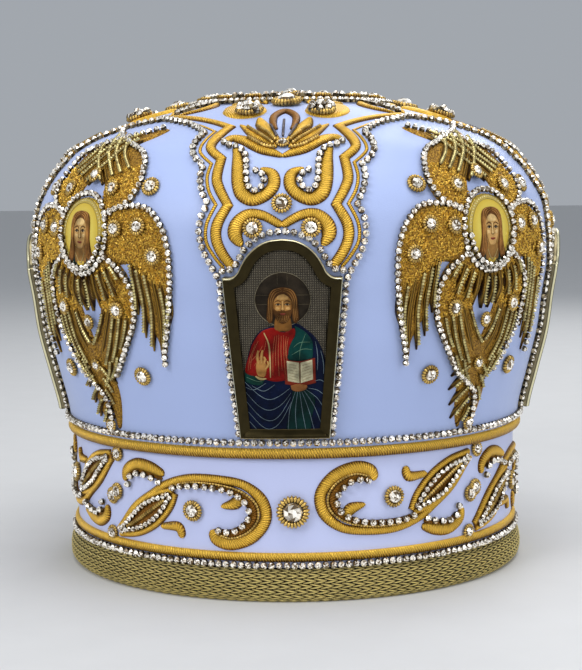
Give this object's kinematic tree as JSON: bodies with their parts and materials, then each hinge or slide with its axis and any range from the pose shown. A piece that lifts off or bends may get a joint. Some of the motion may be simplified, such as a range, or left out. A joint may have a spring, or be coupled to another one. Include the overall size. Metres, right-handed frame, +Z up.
{
  "type": "bishop mitre",
  "caption": "Tall padded satin mitre with enamel icons, bullion seraphim, rows of stones, embroidered scrolls and a knitted gold rim roll.",
  "frame": {"origin": "middle of the round foot, on the surface that the mitre stands on", "axes": "+Z up through the top of the crown, -Y towards the front icon, +X to the viewer's right"},
  "size_m": [0.2458, 0.2458, 0.2187],
  "materials": {
    "satin": "pale lavender satin with a soft sheen",
    "knit_roll": "knitted metallic yarn over a padded roll",
    "gold_cord": "gold satin stitch over a cord",
    "stone_row": "small clear cut stones in dark silvery cups",
    "dark_brass": "darkened olive brass with a worn bright edge",
    "enamel_picture": "painted enamel picture under a clear coat",
    "medallion_picture": "painted enamel picture on a gold ground",
    "bullion": "antique gold bullion and metallic thread in relief",
    "crystal_in_coil": "clear cut crystal in a ring of gold coil"
  },
  "bodies": {
    "root": {"crown": "satin", "band": "satin", "rim_roll": "knit_roll", "seam_cord": "gold_cord", "foot_strip": "gold_cord", "stone_row_upper": "stone_row", "stone_row_lower": "stone_row", "field_row_front_right": "stone_row", "field_row_back_right": "stone_row", "field_row_back_left": "stone_row", "field_row_front_left": "stone_row", "arch_row_front": "stone_row", "arch_row_right": "stone_row", "arch_row_back": "stone_row", "arch_row_left": "stone_row", "icon_frame_front": "dark_brass", "icon_plate_front": "enamel_picture", "icon_frame_right": "dark_brass", "icon_plate_right": "enamel_picture", "icon_frame_back": "dark_brass", "icon_plate_back": "enamel_picture", "icon_frame_left": "dark_brass", "icon_plate_left": "enamel_picture", "medallion_front_right": "medallion_picture", "medallion_row_front_right": "stone_row", "seraph_wings_front_right": "bullion", "medallion_back_right": "medallion_picture", "medallion_row_back_right": "stone_row", "seraph_wings_back_right": "bullion", "medallion_back_left": "medallion_picture", "medallion_row_back_left": "stone_row", "seraph_wings_back_left": "bullion", "medallion_front_left": "medallion_picture", "medallion_row_front_left": "stone_row", "seraph_wings_front_left": "bullion", "field_stone_1": "crystal_in_coil", "field_stone_2": "crystal_in_coil", "field_stone_3": "crystal_in_coil", "field_stone_4": "crystal_in_coil", "field_stone_5": "crystal_in_coil", "field_stone_6": "crystal_in_coil", "field_stone_7": "crystal_in_coil", "field_stone_8": "crystal_in_coil", "field_stone_9": "crystal_in_coil", "field_stone_10": "crystal_in_coil", "field_stone_11": "crystal_in_coil", "field_stone_12": "crystal_in_coil", "field_stone_13": "crystal_in_coil", "field_stone_14": "crystal_in_coil", "field_stone_15": "crystal_in_coil", "field_stone_16": "crystal_in_coil", "crest_stone_front": "crystal_in_coil", "crest_stone_right": "crystal_in_coil", "crest_stone_back": "crystal_in_coil", "crest_stone_left": "crystal_in_coil", "apex_stone": "crystal_in_coil", "band_flower_front": "crystal_in_coil", "band_flower_right": "crystal_in_coil", "band_flower_back": "crystal_in_coil", "band_flower_left": "crystal_in_coil"}
  },
  "joints": []
}
